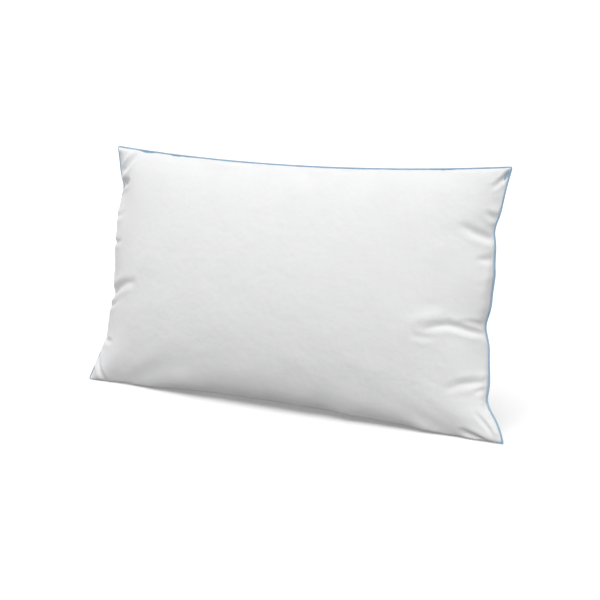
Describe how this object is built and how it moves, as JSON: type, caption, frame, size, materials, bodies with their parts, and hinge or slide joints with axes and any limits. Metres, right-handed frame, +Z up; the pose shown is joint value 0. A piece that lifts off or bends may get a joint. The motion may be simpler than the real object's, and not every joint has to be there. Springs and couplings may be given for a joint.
{
  "type": "bed pillow",
  "caption": "White king-size bed pillow with blue corded piping, standing on its long edge and leaning back a little.",
  "frame": {"origin": "on the floor, under the middle of the whole pillow's box", "axes": "+X along the width, +Y from the front panel to the back panel, +Z up"},
  "size_m": [0.8734, 0.1726, 0.4682],
  "materials": {
    "casing_cotton": "matte",
    "piping_cotton": "matte",
    "cord_cotton": "matte",
    "polyester_fiber": "matte",
    "sewing_thread": "satin",
    "label_satin": "satin"
  },
  "bodies": {
    "root": {"front_panel": "casing_cotton", "back_panel": "casing_cotton", "fiber_fill": "polyester_fiber", "piping_cord": "cord_cotton", "piping_tape": "piping_cotton", "needle_thread": "sewing_thread", "bobbin_thread": "sewing_thread", "closing_stitches": "sewing_thread", "care_label": "label_satin"}
  },
  "joints": []
}
